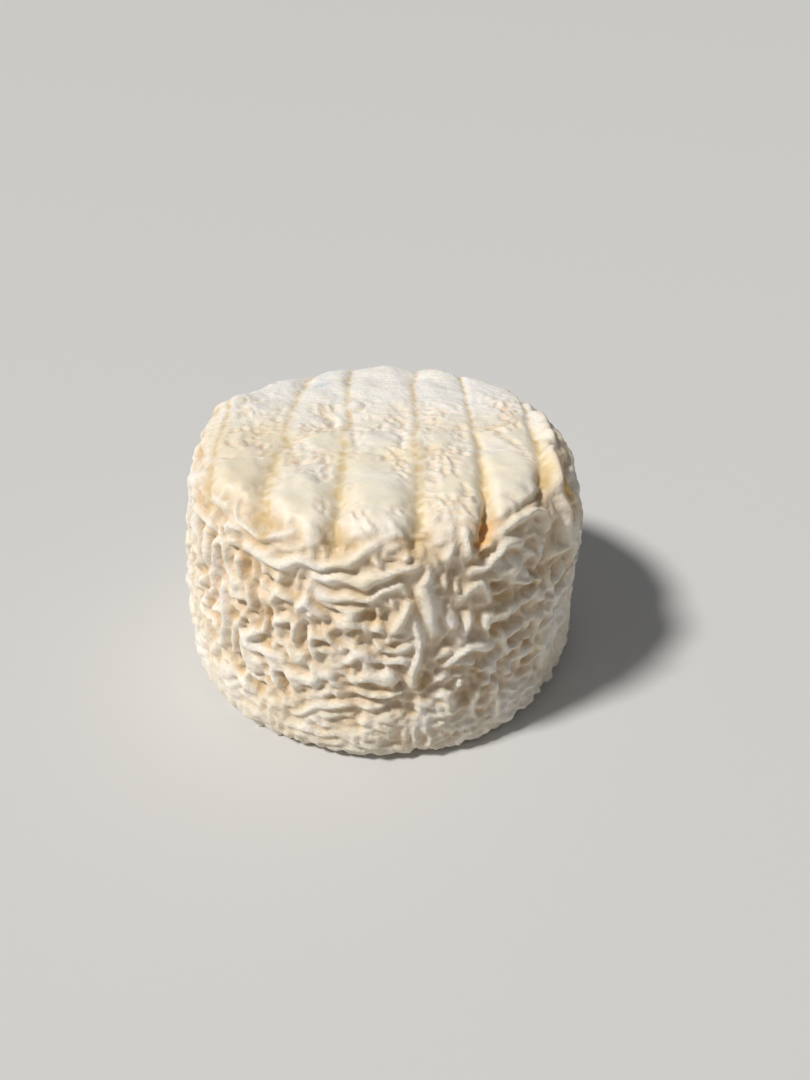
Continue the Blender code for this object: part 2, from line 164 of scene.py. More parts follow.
# Folds that stand out: ((degrees, mm down the skin), ...), half width and crest in mm
NAMED_FOLDS = (
    # The long upright fold at the front and the shorter ones beside it
    (((-79, 9.5), (-77, 12.7), (-76, 17.7)), 0.85, 0.2),
    (((-81, 14.9), (-79, 18.5), (-80, 22.0), (-80, 25.0)), 0.7, 0.0),
    (((-82, 13.1), (-85, 16.7)), 0.7, 0.1),
    (((-65, 15.7), (-67, 18.7)), 0.7, 0.1),
    (((-68, 13.6), (-63, 12.4), (-60, 15.2)), 0.65, 0.0),
    (((-72, 23.2), (-66, 21.5), (-59, 22.3)), 0.65, 0.2),
    # Folds that hang level under the front edge
    (((-126, 7.9), (-115, 9.3), (-106, 8.6), (-97, 7.4), (-90, 5.2)), 0.8, 0.1),
    (((-106, 10.4), (-93, 9.4), (-81, 9.5)), 0.75, 0.1),
    (((-105, 12.6), (-93, 11.7), (-83, 12.0)), 0.6, -0.1),
    # Small arches to the left of them
    (((-119, 15.6), (-116, 13.4), (-112, 14.7)), 0.65, 0.1),
    (((-111, 15.6), (-108, 13.7), (-104, 15.2)), 0.65, 0.1),
    # The curl of skin on the edge at the right, and the fold below it
    (((-56, 9.0), (-55, 6.8), (-50, 5.4), (-43, 5.6), (-39, 6.8), (-38, 9.4)), 0.75, 0.5),
    (((-66, 11.0), (-61, 10.4), (-55, 8.4), (-49, 8.6)), 0.75, 0.2),
    (((-66, 4.4), (-67, 9.0)), 0.65, 0.1),
    # The left edge's fold and the long fold down the left side
    (((-134, 3.6), (-130, 5.3), (-120, 6.2), (-113, 4.6)), 0.7, -0.1),
    (((-136, 16.5), (-136, 21.9), (-138, 26.5), (-149, 32.0)), 0.8, 0.1),
    # The crest beside the last wire mark, which hooks under at its front end
    (((16, 2.2), (-4, 1.6), (-16, 1.9), (-28, 4.9), (-28, 10.1), (-28, 13.8), (-35, 13.0)), 1.15, 0.7),
    # The pale fold above the foot
    (((-113, 32.0), (-104, 30.4), (-97, 28.4)), 0.75, -0.1),
)
FOLD_DEPTH = 1.05
FOLD_WOBBLE = 0.45
FOLD_WOBBLE_WAY = (0.6, 0.0, 1.0)
# How far a fold clears the wrinkles beside it, in half widths, and what share of its height its
# ends lose
FOLD_REACH = 2
FOLD_END_DROP = 0.35

# Calm skin between the wrinkles: degrees, mm down the skin, half length across and down in mm
CALM_PATCHES = (
    (-49, 1.5, 4.5, 3.5),
    (-112, 1.0, 4.0, 3.0),
    (-140, 36.0, 9.0, 3.5),
    (-10, 8.0, 5.0, 4.5),
    (-22, 28.0, 10.0, 7.0),
    (60, 26.0, 8.0, 5.0),
    (150, 24.0, 4.5, 5.0),
)

# Swellings and hollows of the whole skin: degrees, mm down the skin, reach and rise in mm
SWELLINGS = (
    (160, 3.0, 5.5, 1.3),
    (-16, 14.0, 6.0, 1.1),
    (-12, 7.5, 3.4, -1.8),
    (-172, 8.0, 7.0, -0.6),
    (-168, 36.0, 6.0, 0.5),
    (-32, 31.0, 8.0, -0.9),
    (-178, 27.0, 6.0, 0.8),
    (-95, 20.0, 9.0, 0.3),
    (75, 18.0, 9.0, -0.4),
    (110, 30.0, 8.0, 0.4),
)

# The ragged edge of skin at the front left of the foot: from and to in degrees, then in mm
RAGGED_FROM = -146
RAGGED_TO = -112
RAGGED_DOWN = 39.6
RAGGED_RISE = 1.3
RAGGED_HALF_WIDTH = 0.55
RAGGED_SPACING = 2.6
RAGGED_FADE = 4
# Shares of its rise: the mean, the flakes, the nicks between them and the most there is
RAGGED_MEAN = 0.35
FLAKE_SHARE = 0.6
NICK_SHARE = 0.2
RAGGED_MOST = 1.3

# Smooth patches and pits on the top, in mm: x, y, half length in x and in y, then a pit's depth
SMOOTH_PATCHES = (
    (17.2, -13.0, 3.4, 7.5),
    (0.2, -18.0, 3.8, 4.6),
    (-10.1, -18.0, 3.0, 4.6),
    (-18.4, -12.5, 3.6, 5.0),
    (-8.2, -4.2, 2.2, 2.8),
    (0.0, -3.6, 2.7, 2.6),
    (0.0, 24.0, 30.0, 17.0),
)
TOP_PITS = (
    (-10.1, -9.9, 1.1, 0.6, 0.8),
    (-19.7, -17.0, 1.5, 1.1, 0.9),
    (-6.7, 2.0, 0.5, 1.3, 0.6),
    (0.2, -7.6, 2.6, 0.35, 0.45),
    (3.0, -5.2, 0.4, 1.0, 0.4),
    (18.0, -17.8, 2.4, 0.4, 0.5),
)
PIT_STEEPNESS = 2.5

# Stained skin: x, y and z in mm, reach in mm, then the stain
STAINS = (
    (13.6, -22.6, 34.0, 1.3, "orange"),
    (13.3, -24.3, 32.2, 1.3, "orange"),
    (17.0, -20.0, 34.8, 2.2, "ochre"),
    (5.0, -25.0, 33.0, 1.6, "ochre"),
    (-4.9, -25.4, 33.0, 1.4, "ochre"),
    (-14.6, -21.0, 34.0, 1.5, "ochre"),
    (26.1, -9.2, 32.5, 3.8, "brown"),
    (21.7, -3.0, 35.6, 2.2, "ochre"),
    (21.7, -12.0, 35.0, 2.4, "ochre"),
    (-19.7, -17.0, 36.0, 1.3, "ochre"),
    (-9.5, 15.5, 36.2, 1.3, "blue"),
)

# Steps of each part of the plain outline, steps of the whole, and how many of these each of its
# directions is blended over
ARC_STEPS = 200
PROFILE_STEPS = 2000
PROFILE_BLEND = 41

# The mesh: equal sectors that each ring of the top and of the underside is one vertex wider
# in, vertices round the girth and rows down the side
SECTORS = 8
RING_VERTICES = 528
SIDE_ROWS = 120

# Colours of the skin, linear
COLORS = {
    "bloom": (0.91, 0.85, 0.76),
    "snow": (0.95, 0.92, 0.87),
    # Painted shade: the darker, duller skin towards the foot
    "painted_foot_shade": (0.74, 0.66, 0.53),
    "honey": (0.69, 0.50, 0.27),
    "cream": (0.88, 0.79, 0.62),
    "peach": (0.80, 0.65, 0.46),
    "tan": (0.67, 0.52, 0.36),
    "yellow": (0.76, 0.60, 0.35),
    "ochre": (0.63, 0.45, 0.20),
    "orange": (0.92, 0.50, 0.15),
    "brown": (0.90, 0.58, 0.20),
    "lilac": (0.86, 0.85, 0.86),
    "blue": (0.66, 0.72, 0.76),
    "lemon": (0.95, 0.87, 0.69),
}

# Clouds, freckles and breaks in the grooves' colour: mm apart and seed, then the number of waves
# that each is made of and how long they are, as shares of the spacing
CLOUDS = (9, 3)
FRECKLES = (3.5, 4)
GROOVE_BREAKS = (1.6, 5)
GROOVE_UNEVENNESS = 0.25
WAVES = 24
WAVE_LENGTHS = (0.7, 1.6)

# Shares of colours that clouds or freckles change: the mean, then what they add
CREAM_SHARE = (0.35, 0.35)
LEMON_SHARE = (0.8, 0.3)
PEACH_SHARE = (0.8, 0.2)
TAN_SHARE = (0.75, 0.25)

# The most that each of the other colours shows
MOST_SHOWN = {
    "lemon": 0.75,
    "left band": 0.3,
    "painted_foot_shade": 0.7,
    "snow": 0.8,
    "lilac": 0.5,
    "honey": 0.8,
    "groove": 0.8,
    "ochre": 0.45,
    "bloom": 0.8,
}

# Where the colours of a place start and where they are full, in mm: waxy skin towards -Y, the
# left band towards -X and towards -Y, painted shade down towards the foot and the far side towards +Y
WAXY_STARTS = (-4, 6)
LEFT_BAND_STARTS = (12, 17)
LEFT_BAND_FRONT = (-12, 0)
FOOT_SHADE_STARTS = (-9, -1)
FAR_STARTS = (-2, 12)

# Where the colours of valleys, freckles and grooves start and where they are full
PEACH_VALLEYS = (0, 0.6)
TAN_VALLEYS = (0.45, 1)
HONEY_VALLEYS = (0.5, 1)
HONEY_FRECKLES = (0.1, 1.3)
LILAC_FRECKLES = (0.2, 1.6)
OCHRE_GROOVES = (0.5, 1)

# The rind's glow, fuzz and shine
RIND_SETTINGS = {
    "Subsurface Weight": 0.22,
    "Subsurface Radius": (1.0, 0.55, 0.28),
    "Subsurface Scale": 0.0007,
    "Sheen Weight": 0.12,
    "Sheen Roughness": 0.6,
    "Specular IOR Level": 0.35,
}
DRY_ROUGHNESS = 0.62
WAXY_ROUGHNESS = 0.42

# Mottling finer than the mesh: the noise's scale and detail, where the colour starts and is full,
# the most that it shows and its name
MOTTLES = (
    (420, 3, 0.52, 0.75, 0.45, "bloom"),
    (900, 4, 0.55, 0.75, 0.3, "peach"),
)

# Grain, level creases and lumps finer than the mesh: the noise's scale, detail and roughness, the
# height in metres, the strength on dry and on waxy skin, and whether it is stretched level
BUMPS = (
    (2600, 4, 0.6, 0.00012, 0.55, 0.15, False),
    (1300, 2, 0.5, 0.0004, 0.35, 0.05, True),
    (900, 2, 0.5, 0.0005, 0.4, 0.12, False),
)
LEVEL_STRETCH = (0.45, 1.0, 1.0)

FLOOR_HALF_SIDE = 8.0
FLOOR_COLOR = (0.66, 0.66, 0.65, 1.0)
FLOOR_ROUGHNESS = 0.8
BACKDROP_COLOR = (0.586, 0.578, 0.557, 1.0)

# Light from the window and from all round
WINDOW_STRENGTH = 3.1
WINDOW_SPREAD = math.radians(9)
WINDOW_COLOR = (1.0, 0.975, 0.94)
WINDOW_TURN = (math.radians(38), 0, math.radians(-66))
ROOM_COLOR = (0.94, 0.96, 1.0, 1.0)
ROOM_STRENGTH = 0.17

# The photo's camera
CAMERA_PLACE = (0.0037, -0.1125, 0.0903)
CAMERA_TILT = math.radians(57)
CAMERA_LENS = 29.13
CAMERA_NEAR = 0.005


def smooth_step(value, low, high):
    """0 up to low, 1 from high, and an even curve between."""
    t = np.clip((value - low) / (high - low), 0, 1)
    return t * t * (3 - 2 * t)


def wave_numbers(shape):
    """Waves per mm down and across a map, for its Fourier transform."""
    return np.fft.fftfreq(shape[0], MAP_CELL)[:, None], np.fft.fftfreq(shape[1], MAP_CELL)[None, :]


def filtered(grid, strength):
    return np.fft.ifft2(np.fft.fft2(grid) * strength).real


def smooth_noise(shape, spacing, rng):
    """Random swells about spacing mm apart on a map, with a mean of 0 and a spread of 1."""
    down, across = wave_numbers(shape)
    blur = np.exp(-(down**2 + across**2) * SWELL_BLUR * spacing**2)
    field = filtered(rng.standard_normal(shape), blur)
    return (field - field.mean()) / field.std()


def soften(grid, reach):
    """A map blurred over reach mm."""
    down, across = wave_numbers(grid.shape)
    return filtered(grid, np.exp(-2 * (math.pi * reach) ** 2 * (down**2 + across**2)))


def read_map(grid, row, column):
    """A map's values between its cells. Columns meet end to end."""
    rows, columns = grid.shape
    row = np.clip(row, 0, rows - 1.001)
    top, left = np.floor(row).astype(int), np.floor(column).astype(int)
    row_share, column_share = row - top, column - left
    left, right = left % columns, (left + 1) % columns
    upper = grid[top, left] * (1 - column_share) + grid[top, right] * column_share
    lower = grid[top + 1, left] * (1 - column_share) + grid[top + 1, right] * column_share
    return upper * (1 - row_share) + lower * row_share


def ropes(shape, spacing, heading, rng):
    """Round ridges about spacing mm apart, from 0 between them to 1 on top, square to a heading."""
    down, across = wave_numbers(shape)
    ring = np.exp(-(((np.hypot(down, across) * spacing - 1) / ROPE_BAND) ** 2))
    turned = np.cos(np.arctan2(down, across) - heading) ** ROPE_STRAIGHTNESS
    field = filtered(rng.standard_normal(shape), ring * turned)
    return smooth_step(field / field.std(), *ROPE_SLOPE)


def wrinkles(shape, spacing, upright, rng):
    """A net of level and upright ridges, 0 to 1 high, bent and broken here and there.

    upright is how far the upright ridges win over the level ones, from -1 to 1.
    """
    level = ropes(shape, spacing, math.pi / 2, rng)
    standing = ropes(shape, spacing, 0, rng)
    region, bend_down, bend_across = (
        smooth_noise(shape, REGION_SPACINGS * spacing, rng) for _ in range(3)
    )
    region = upright + region
    level = level * smooth_step(-region, *REGION_CHANGE)
    standing = standing * smooth_step(region, *REGION_CHANGE)
    net = np.maximum(level, standing)
    row, column = np.indices(shape)
    bend = ROPE_BEND * spacing / MAP_CELL
    return read_map(net, row + bend * bend_down, column + bend * bend_across)


def distance_to_path(places, path):
    """Distance from each place in space to a path, and how far along it that is, 0 to 1."""
    nearest, along = np.full(len(places), np.inf), np.zeros(len(places))
    for i, (start, end) in enumerate(zip(path, path[1:])):
        step = end - start
        t = np.clip((places - start) @ step / (step @ step), 0, 1)
        away = np.linalg.norm(places - start - t[:, None] * step, axis=1)
        along = np.where(away < nearest, (i + t) / (len(path) - 1), along)
        nearest = np.minimum(nearest, away)
    return nearest, along


def girth_place(degrees):
    """Mm round the girth from +X towards +Y."""
    return math.radians(degrees) * GIRTH_RADIUS


def inside_patches(x, y, patches):
    """1 in the middle of any patch, 0 outside them all."""
    found = np.zeros(x.shape)
    for px, py, half_x, half_y in patches:
        away = np.hypot((x - px) / half_x, (y - py) / half_y)
        found = np.maximum(found, 1 - smooth_step(away, *PATCH_BORDER))
    return found


def side_map():
    """Heights of the skin from the top's edge down to the foot, all round, with ridges near 0.

    Also gives the swells that bend the named folds.
    """
    rng = np.random.default_rng(SEED)
    rows = round((SKIN_TO - SKIN_FROM) / MAP_CELL)
    columns = round(math.tau * GIRTH_RADIUS / MAP_CELL)
    shape = (rows, columns)
    down = SKIN_FROM + np.arange(rows)[:, None] * MAP_CELL + np.zeros(shape)
    turns = np.arange(columns)[None, :] / columns - 0.5
    girth = turns * math.tau * GIRTH_RADIUS + np.zeros(shape)
    small, lumps, middle, large = (smooth_noise(shape, mm, rng) for mm in SIDE_SWELLS)
    body = wrinkles(shape, BODY_SPACING, 0, rng)
    fine = wrinkles(shape, FINE_SPACING, 0, rng)
    foot = wrinkles(shape, FOOT_SPACING, FOOT_UPRIGHT, rng)
    edge = wrinkles(shape, EDGE_SPACING, EDGE_UPRIGHT, rng)

    at_foot = smooth_step(down + large, *FOOT_ZONE_STARTS)
    at_edge = 1 - smooth_step(down + large, *EDGE_ZONE_ENDS)
    in_front = smooth_step(-np.sin(girth / GIRTH_RADIUS), *FRONT_STARTS)
    lively = BACK_SHARE + (1 - BACK_SHARE) * in_front
    heights = BODY_DEPTH * (body - 1) + FINE_DEPTH * (fine - 1) * (1 - FINE_HIDDEN * body)
    heights *= lively * np.clip(1 + DEPTH_UNEVENNESS * middle, *DEPTH_LIMITS)
    heights += (FOOT_DEPTH * (foot - 1) - heights) * at_foot
    edge_depth = EDGE_DEPTH * (BACK_EDGE_SHARE + (1 - BACK_EDGE_SHARE) * in_front)
    heights += (edge_depth * (edge - 1) - heights) * at_edge
    calm = [(girth_place(degrees), *place) for degrees, *place in CALM_PATCHES]
    heights *= 1 - (1 - CALM_SHARE) * inside_patches(girth, down, calm)
    heights += LUMP_RISE * lively * lumps + GRAIN_RISE * small

    start, end = girth_place(RAGGED_FROM), girth_place(RAGGED_TO)
    ends = smooth_step(girth, start, start + RAGGED_FADE)
    ends *= 1 - smooth_step(girth, end - RAGGED_FADE, end)
    flakes = smooth_noise(shape, RAGGED_SPACING, rng)
    nicks = smooth_noise(shape, RAGGED_SPACING / 3, rng)
    ragged = np.clip(FLAKE_SHARE * flakes + NICK_SHARE * nicks + RAGGED_MEAN, 0, RAGGED_MOST)
    lip = np.exp(-(((down - RAGGED_DOWN) / RAGGED_HALF_WIDTH) ** 2))
    heights += RAGGED_RISE * ends * ragged * lip
    return soften(heights, SOFTNESS), middle


def top_map():
    """Heights of the top's skin, how far the marks bend, how wrinkled it is and its valleys."""
    rng = np.random.default_rng(SEED + 1)
    cells = round(2 * TOP_HALF_SIDE / MAP_CELL)
    places = np.arange(cells) * MAP_CELL - TOP_HALF_SIDE
    x, y = np.meshgrid(places, places)
    small, middle, large = (smooth_noise(x.shape, mm, rng) for mm in TOP_SWELLS)
    rough = smooth_step(middle, *TOP_WRINKLES_START) * (1 - inside_patches(x, y, SMOOTH_PATCHES))
    for mark in WIRE_MARKS:
        rough *= smooth_step(np.abs(x - wire_line(mark, y)), *MARK_BORDER)
    fine = wrinkles(x.shape, TOP_SPACING, 0, rng)
    heights = TOP_DEPTH * rough * (fine - 1)
    small = small * (SMOOTH_SKIN_SHARE + rough)
    for rise, swell in zip(TOP_SWELL_RISES, (small, middle, large)):
        heights += rise * swell
    for px, py, half_x, half_y, depth in TOP_PITS:
        away = np.hypot((x - px) / half_x, (y - py) / half_y)
        heights -= depth * np.exp(-(away**PIT_STEEPNESS))
    return soften(heights, SOFTNESS), MARK_BEND * large, rough, rough * (1 - fine)


def wire_line(mark, y):
    """Where a wire's mark runs, as x at each y."""
    share = np.clip(0.5 - y / (2 * FLAT_RADIUS / MM), 0, 1)
    return mark[0] + (mark[1] - mark[0]) * share


def wire_marks(x, y, down):
    """Grooves on the top from the drying wires, deeper where they cut the edge, and swells between.

    Also gives how far into a groove each place is, 0 to 1.
    """
    fade = 1 - smooth_step(down, *MARKS_END)
    edge = smooth_step(down, *MARKS_DEEPEN) * fade
    front = smooth_step(-y, *MARK_FRONT)
    heights, inside = np.zeros(x.shape), np.zeros(x.shape)
    lines = []
    for mark in WIRE_MARKS:
        _, _, top_depth, edge_depth, half_width = mark
        line = wire_line(mark, y)
        depth = top_depth + (edge_depth - top_depth) * front * edge
        width = half_width * (1 + MARK_WIDENING * front)
        heights -= depth * fade * np.exp(-(np.abs((x - line) / width) ** MARK_STEEPNESS))
        thin = np.exp(-(np.abs((x - line) / (GROOVE_LINE * width)) ** MARK_STEEPNESS))
        inside = np.maximum(inside, fade * thin * (GROOVE_AT_BACK + (1 - GROOVE_AT_BACK) * front))
        lines.append(line)
    crown = LAND_CROWN + (LOBE_CROWN - LAND_CROWN) * edge
    for left, right in zip(lines, lines[1:]):
        t = np.clip((x - left) / (right - left), 0, 1)
        heights += crown * fade * 4 * t * (1 - t)
    return heights - crown * fade, inside


def under_marks(x, radius):
    """Grooves that the wires left in the underside."""
    off_line = ((x / UNDER_MARK_STEP) % 1 - 0.5) * UNDER_MARK_STEP
    groove = np.exp(-((off_line / UNDER_MARK_HALF_WIDTH) ** 2))
    return -UNDER_MARK_DEPTH * groove * (1 - smooth_step(radius, *UNDER_MARK_ENDS))


def swellings(angle, down):
    """The drum's own unevenness."""
    heights = np.zeros(angle.shape)
    for degrees, middle, reach, rise in SWELLINGS:
        turn = (angle - math.radians(degrees) + math.pi) % math.tau - math.pi
        heights += rise * np.exp(-((turn * GIRTH_RADIUS) ** 2 + (down - middle) ** 2) / reach**2)
    return heights


def add_folds(heights, places, wobble):
    """Lays the named folds on the relief at places on the drum, with a valley beside each."""
    places = places + FOLD_WOBBLE * wobble[:, None] * np.array(FOLD_WOBBLE_WAY)
    for points, half_width, crest in NAMED_FOLDS:
        path = [drum_place(degrees, down) for degrees, down in points]
        away, along = distance_to_path(places, path)
        near = np.exp(-((away / (FOLD_REACH * half_width)) ** 3))
        lively = 1 - FOLD_END_DROP * np.abs(2 * along - 1) ** 3
        fold = (crest + FOLD_DEPTH) * lively * np.exp(-((away / half_width) ** 2)) - FOLD_DEPTH
        heights = heights + near * (fold - heights)
    return heights


def relief(angle, down, x, y, z):
    """How far the skin stands out from the plain drum at places on it, in mm.

    Also gives its colours and how waxy it is, 0 to 1.
    """
    side, wobble = side_map()
    row, column = (down - SKIN_FROM) / MAP_CELL, (angle / math.tau + 0.5) * side.shape[1]
    top, bends, rough, pits = top_map()
    top_place = (y + TOP_HALF_SIDE) / MAP_CELL, (x + TOP_HALF_SIDE) / MAP_CELL
    on_side, on_top = smooth_step(down, *SIDE_STARTS), 1 - smooth_step(down, *TOP_ENDS)
    heights = read_map(side, row, column) * on_side + read_map(top, *top_place) * on_top
    marks, groove = wire_marks(x + read_map(bends, *top_place), y, down)
    places = np.stack([x, y, z], 1)
    heights = add_folds(heights + marks, places, read_map(wobble, row, column))
    under = smooth_step(down, *UNDERSIDE_STARTS)
    valley = smooth_step(-heights, *VALLEY_DEPTHS) * on_side * (1 - under)
    valley = np.maximum(valley, TOP_VALLEY_SHARE * on_top * read_map(pits, *top_place))
    waxy = (1 - read_map(rough, *top_place)) * on_top * smooth_step(-y, *WAXY_STARTS)
    ridge = smooth_step(heights, *RIDGE_HEIGHTS)
    colors = skin_colors(places, valley, groove, ridge, waxy, on_top)
    heights += swellings(angle, down)
    return heights * (1 - under) + under_marks(x, np.hypot(x, y)) * under, colors, waxy


def blend(colors, name, share):
    """Colours moved towards a named one by a share at each place."""
    return colors + share[:, None] * (np.array(COLORS[name]) - colors)


def noise_in_space(places, spacing, seed):
    """Random swells about spacing mm apart in space, from a few waves, with a spread near 1."""
    rng = np.random.default_rng(seed)
    total = np.zeros(len(places))
    for _ in range(WAVES):
        way = rng.standard_normal(3)
        way *= math.tau / (spacing * rng.uniform(*WAVE_LENGTHS)) / np.linalg.norm(way)
        total += np.sin(places @ way + rng.uniform(0, math.tau))
    return total / math.sqrt(WAVES / 2)


def uneven(share, swells):
    """A share that swells change, given as its mean and what they add, kept from 0 to 1."""
    mean, added = share
    return np.clip(mean + added * swells, 0, 1)


def skin_colors(places, valley, groove, ridge, waxy, on_top):
    """Skin colour: bloom on ridges, warm skin in valleys and grooves, painted shade in deep valleys.
    """
    x, y, z = places.T
    cloud = noise_in_space(places, *CLOUDS)
    freckle = noise_in_space(places, *FRECKLES)
    breaks = noise_in_space(places, *GROOVE_BREAKS)
    groove = np.clip(groove * (1 + GROOVE_UNEVENNESS * breaks), 0, 1)
    far = on_top * smooth_step(y, *FAR_STARTS)
    left_band = on_top * smooth_step(-x, *LEFT_BAND_STARTS) * smooth_step(-y, *LEFT_BAND_FRONT)

    colors = np.tile(COLORS["bloom"], (len(places), 1))
    colors = blend(colors, "cream", uneven(CREAM_SHARE, cloud))
    colors = blend(colors, "lemon", MOST_SHOWN["lemon"] * waxy * uneven(LEMON_SHARE, cloud))
    colors = blend(colors, "yellow", MOST_SHOWN["left band"] * left_band)
    # Painted shade: the skin darker down towards the foot
    colors = blend(colors, "painted_foot_shade", MOST_SHOWN["painted_foot_shade"] * smooth_step(-z + cloud, *FOOT_SHADE_STARTS))
    colors = blend(colors, "snow", MOST_SHOWN["snow"] * far)
    colors = blend(colors, "lilac", MOST_SHOWN["lilac"] * far * smooth_step(freckle, *LILAC_FRECKLES))

    peach = smooth_step(valley, *PEACH_VALLEYS) * uneven(PEACH_SHARE, cloud)
    # Tan and honey darken the deeper valleys: partly the rind's warm tint, partly painted shade
    tan = smooth_step(valley, *TAN_VALLEYS) * uneven(TAN_SHARE, freckle)
    honey = smooth_step(valley, *HONEY_VALLEYS) * smooth_step(freckle, *HONEY_FRECKLES)
    colors = blend(colors, "peach", peach)
    colors = blend(colors, "tan", tan)
    colors = blend(colors, "honey", MOST_SHOWN["honey"] * honey)
    colors = blend(colors, "yellow", MOST_SHOWN["groove"] * groove)
    colors = blend(colors, "ochre", MOST_SHOWN["ochre"] * smooth_step(groove, *OCHRE_GROOVES))
    colors = blend(colors, "bloom", MOST_SHOWN["bloom"] * ridge)
    for *middle, reach, stain in STAINS:
        away = np.linalg.norm(places - np.array(middle), axis=1)
        deep = 1.0 if stain in ("brown", "blue") else np.maximum(groove, valley)
        colors = blend(colors, stain, np.exp(-((away / reach) ** 2)) * deep)
    return colors


def drum_profile():
    """The plain drum's outline: distance from the top's middle, radius, height and direction out."""
    share = np.linspace(0, 1, ARC_STEPS)
    turn = share[1:] * math.pi / 2
    rim_z = HEIGHT - TOP_DOME
    side_radius = TOP_RADIUS + (FOOT_RADIUS - TOP_RADIUS) * share
    side_radius += WAIST_BULGE * 4 * share * (1 - share)
    side_z = rim_z - SHOULDER_ROUND + (FOOT_ROUND - rim_z + SHOULDER_ROUND) * share
    radius = np.concatenate([
        share * FLAT_RADIUS,
        FLAT_RADIUS + SHOULDER_ROUND * np.sin(turn),
        side_radius[1:],
        FOOT_RADIUS - FOOT_ROUND * (1 - np.cos(turn)),
        (FOOT_RADIUS - FOOT_ROUND) * (1 - share[1:]),
    ])
    z = np.concatenate([
        HEIGHT - TOP_DOME * share**2,
        rim_z - SHOULDER_ROUND * (1 - np.cos(turn)),
        side_z[1:],
        FOOT_ROUND * (1 - np.sin(turn)),
        np.zeros(len(turn)),
    ])
    length = np.concatenate([[0], np.cumsum(np.hypot(np.diff(radius), np.diff(z)))])
    even = np.linspace(0, length[-1], PROFILE_STEPS)
    radius, z = np.interp(even, length, radius), np.interp(even, length, z)
    slope = np.gradient(radius), np.gradient(z)
    window = np.hanning(PROFILE_BLEND)
    out_r, out_z = (
        np.convolve(np.pad(v, PROFILE_BLEND // 2, "edge"), window, "valid")
        for v in (-slope[1], slope[0])
    )
    size = np.hypot(out_r, out_z)
    return even, radius, z, out_r / size, out_z / size


def drum_place(degrees, down):
    """The point of the plain drum at an angle and a distance down the skin, in mm."""
    along, radii, heights, _, _ = drum_profile()
    radius, z = (np.interp(FLAT_RADIUS + down * MM, along, v) / MM for v in (radii, heights))
    angle = math.radians(degrees)
    return np.array([radius * math.cos(angle), radius * math.sin(angle), z])


def ring_layout(ring_vertices, side_rows, length):
    """Rings from the top's middle to the underside's middle: (vertices, distance along)."""
    steps = ring_vertices // SECTORS
    top_edge = FLAT_RADIUS
    under_edge = length - (FOOT_RADIUS - FOOT_ROUND)
    rings = [(SECTORS * i or 1, top_edge * i / steps) for i in range(steps + 1)]
    rings += [
        (ring_vertices, top_edge + (under_edge - top_edge) * i / side_rows)
        for i in range(1, side_rows)
    ]
    rings += [
        (SECTORS * i or 1, under_edge + (length - under_edge) * (1 - i / steps))
        for i in range(steps, -1, -1)
    ]
    return rings


def ring_faces(rings):
    """Triangles between each ring and the next, facing out."""
    faces = []
    start = 0
    for (above, _), (below, _) in zip(rings, rings[1:]):
        a, b = start, start + above
        if above == below:
            for j in range(above):
                k = (j + 1) % above
                faces += [(a + j, b + j, b + k), (a + j, b + k, a + k)]
        else:
            small, large = sorted(0 if n == 1 else n // SECTORS for n in (above, below))
            for sector in range(SECTORS):
                for j in range(large):
                    wide = [(sector * large + j + i) % (SECTORS * large) for i in (0, 1)]
                    thin = [(sector * small + j + i) % max(SECTORS * small, 1) for i in (0, 1)]
                    if above < below:
                        faces.append((a + thin[0], b + wide[0], b + wide[1]))
                    else:
                        faces.append((a + wide[0], b + thin[0], a + wide[1]))
                    if j < small:
                        if above < below:
                            faces.append((a + thin[0], b + wide[1], a + thin[1]))
                        else:
                            faces.append((b + thin[0], b + thin[1], a + wide[1]))
        start = b
    return faces


def rind_surface(ring_vertices, side_rows):
    """Points and triangles of the whole cheese's surface, its colours and how waxy it is."""
    along, radius, z, out_r, out_z = drum_profile()
    rings = ring_layout(ring_vertices, side_rows, along[-1])
    place = np.concatenate([np.full(n, s) for n, s in rings])
    angle = np.concatenate([np.arange(n) * math.tau / n for n, _ in rings])
    angle = (angle + math.pi) % math.tau - math.pi
    r, height, nr, nz = (np.interp(place, along, v) for v in (radius, z, out_r, out_z))
    x, y = r * np.cos(angle), r * np.sin(angle)
    out, colors, waxy = relief(angle, (place - FLAT_RADIUS) / MM, x / MM, y / MM, height / MM)
    r = r + out * MM * nr
    height = np.maximum(height + out * MM * nz, 0)
    points = np.stack([r * np.cos(angle), r * np.sin(angle), height], 1)
    points[:, :2] -= (points[:, :2].min(0) + points[:, :2].max(0)) / 2
    return points, ring_faces(rings), colors, waxy


